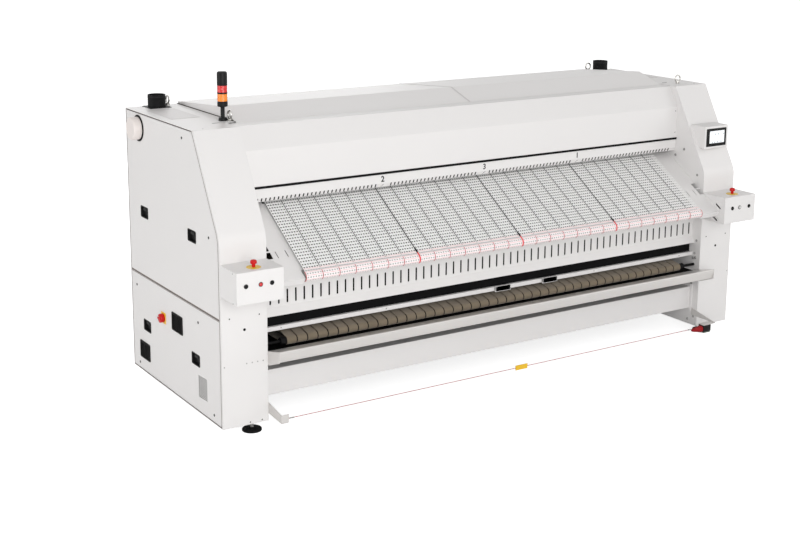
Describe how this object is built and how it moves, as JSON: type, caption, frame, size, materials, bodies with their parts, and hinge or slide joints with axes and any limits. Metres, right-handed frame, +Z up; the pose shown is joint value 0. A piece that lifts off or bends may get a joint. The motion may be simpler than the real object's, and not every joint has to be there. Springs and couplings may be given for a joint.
{
  "type": "flatwork ironer",
  "caption": "Industrial flatwork ironer: end towers, hood, sloping feed belts, slotted apron, heated cylinder, return belts and catch tray.",
  "frame": {"origin": "floor point under the middle of the whole machine, its fittings included", "axes": "+X to the right hand end as the operator faces the feed side, +Y to the rear, +Z up"},
  "size_m": [4.42, 1.672, 2.189],
  "materials": {
    "casing_white": "fine satin powder coat",
    "zinc_steel": "zinc-plated sheet",
    "bright_sheet": "satin anodised sheet",
    "polished_steel": "ground steel",
    "stainless_tube": "drawn tube",
    "grey_iron": "painted casting",
    "black_steel": "black paint",
    "black_plastic": "moulded, slightly grained",
    "red_plastic": "moulded",
    "yellow_plastic": "moulded",
    "red_lens": "clear coloured plastic",
    "screen_glass": "touch screen front",
    "ironing_felt": "needled felt",
    "feed_cloth": "smooth woven belt with fine stitched rows",
    "red_rope": "plastic-covered wire"
  },
  "bodies": {
    "machine": {"air_caps": "casing_white", "apron": "casing_white", "bearings": "grey_iron", "burner_tube": "stainless_tube", "cabinet_plate": "zinc_steel", "catch_tray": "bright_sheet", "control_bezels": "black_plastic", "control_box_left": "casing_white", "control_box_right": "casing_white", "cross_beams": "casing_white", "drive_chain": "black_steel", "exhaust_ducts": "black_steel", "fan_housings": "zinc_steel", "feed_belts": "feed_cloth", "feed_table": "casing_white", "filter_grilles": "black_plastic", "gear_motor": "grey_iron", "hood": "casing_white", "indicator_lenses": "red_lens", "ironing_belts": "ironing_felt", "isolator": "yellow_plastic", "levelling_feet": "black_steel", "lifting_eyes": "polished_steel", "linen_strippers": "stainless_tube", "lower_side_panel_left": "casing_white", "lower_side_panel_right": "casing_white", "panel_fasteners": "black_plastic", "panel_grips": "black_plastic", "rear_panels": "casing_white", "release_bar": "casing_white", "roof_panel": "casing_white", "rope_switch": "black_plastic", "rope_tag": "yellow_plastic", "screen_housing": "casing_white", "side_brackets": "bright_sheet", "side_frames": "zinc_steel", "signal_beacon": "black_plastic", "touch_screen": "screen_glass", "tower_cover_left": "casing_white", "tower_cover_right": "casing_white", "trip_rope": "red_rope", "upper_side_panels": "casing_white"},
    "cylinder": {"heated_cylinder": "polished_steel"},
    "nip": {"nip_roller": "polished_steel"},
    "upper_guide": {"upper_guide_roller": "stainless_tube"},
    "lower_guide": {"lower_guide_roller": "stainless_tube"},
    "return_guide": {"return_roller": "stainless_tube"},
    "feed_front": {"feed_nose_roller": "stainless_tube"},
    "feed_rear": {"feed_drive_roller": "stainless_tube"},
    "chain_pinion": {"drive_sprocket": "polished_steel"},
    "fan_left": {"fan_impeller_left": "zinc_steel"},
    "fan_right": {"fan_impeller_right": "zinc_steel"},
    "guard": {"finger_guard": "casing_white"},
    "start_left": {"start_button_left": "black_plastic"},
    "stop_left": {"stop_button_left": "black_plastic"},
    "start_right": {"start_button_right": "black_plastic"},
    "stop_right": {"stop_button_right": "black_plastic"},
    "estop_left": {"emergency_stop_left": "red_plastic"},
    "estop_right": {"emergency_stop_right": "red_plastic"},
    "isolator_handle": {"isolator_knob": "red_plastic"}
  },
  "joints": [
    {"name": "cylinder_spin", "type": "hinge", "parent": "machine", "child": "cylinder", "pos_m": [0, 0.212, 1.12], "axis": [1, 0, 0], "continuous": true},
    {"name": "nip_roller_spin", "type": "hinge", "parent": "machine", "child": "nip", "pos_m": [0, -0.07342, 1.48532], "axis": [1, 0, 0], "continuous": true},
    {"name": "upper_guide_spin", "type": "hinge", "parent": "machine", "child": "upper_guide", "pos_m": [0, 0.587, 1.69], "axis": [1, 0, 0], "continuous": true},
    {"name": "lower_guide_spin", "type": "hinge", "parent": "machine", "child": "lower_guide", "pos_m": [0, 0.587, 0.56], "axis": [1, 0, 0], "continuous": true},
    {"name": "return_roller_spin", "type": "hinge", "parent": "machine", "child": "return_guide", "pos_m": [0, -0.539, 0.54], "axis": [1, 0, 0], "continuous": true},
    {"name": "feed_front_spin", "type": "hinge", "parent": "machine", "child": "feed_front", "pos_m": [0, -0.751, 1.003], "axis": [1, 0, 0], "continuous": true},
    {"name": "feed_rear_spin", "type": "hinge", "parent": "machine", "child": "feed_rear", "pos_m": [0, -0.16713, 1.37068], "axis": [1, 0, 0], "continuous": true},
    {"name": "chain_pinion_spin", "type": "hinge", "parent": "machine", "child": "chain_pinion", "pos_m": [0, 0.212, 0.42], "axis": [1, 0, 0], "continuous": true},
    {"name": "left_fan_spin", "type": "hinge", "parent": "machine", "child": "fan_left", "pos_m": [0, 0.647, 1.58], "axis": [1, 0, 0], "continuous": true},
    {"name": "right_fan_spin", "type": "hinge", "parent": "machine", "child": "fan_right", "pos_m": [0, 0.647, 1.58], "axis": [1, 0, 0], "continuous": true},
    {"name": "guard_swing", "type": "hinge", "parent": "machine", "child": "guard", "pos_m": [0, -0.281, 1.47], "axis": [1, 0, 0], "range_deg": [0, 10], "stiffness_Nm_per_rad": 2},
    {"name": "start_left_push", "type": "slide", "parent": "machine", "child": "start_left", "axis": [0, 1, 0], "range_m": [0, 0.0035], "stiffness_N_per_m": 600},
    {"name": "stop_left_push", "type": "slide", "parent": "machine", "child": "stop_left", "axis": [0, 1, 0], "range_m": [0, 0.0035], "stiffness_N_per_m": 600},
    {"name": "start_right_push", "type": "slide", "parent": "machine", "child": "start_right", "axis": [0, 1, 0], "range_m": [0, 0.0035], "stiffness_N_per_m": 600},
    {"name": "stop_right_push", "type": "slide", "parent": "machine", "child": "stop_right", "axis": [0, 1, 0], "range_m": [0, 0.0035], "stiffness_N_per_m": 600},
    {"name": "left_estop_push", "type": "slide", "parent": "machine", "child": "estop_left", "axis": [0, 0, -1], "range_m": [0, 0.006]},
    {"name": "right_estop_push", "type": "slide", "parent": "machine", "child": "estop_right", "axis": [0, 0, -1], "range_m": [0, 0.006]},
    {"name": "isolator_turn", "type": "hinge", "parent": "machine", "child": "isolator_handle", "pos_m": [-2.19, 0.288, 0.543], "axis": [-1, 0, 0], "range_deg": [0, 90]}
  ],
  "couplings": [
    {"joint": "nip_roller_spin", "follows": "cylinder_spin", "ratio": -6.6667},
    {"joint": "upper_guide_spin", "follows": "cylinder_spin", "ratio": -8},
    {"joint": "lower_guide_spin", "follows": "cylinder_spin", "ratio": -8},
    {"joint": "return_roller_spin", "follows": "cylinder_spin", "ratio": -16.667},
    {"joint": "feed_front_spin", "follows": "cylinder_spin", "ratio": 13.333},
    {"joint": "feed_rear_spin", "follows": "cylinder_spin", "ratio": 13.333},
    {"joint": "chain_pinion_spin", "follows": "cylinder_spin", "ratio": 4}
  ]
}
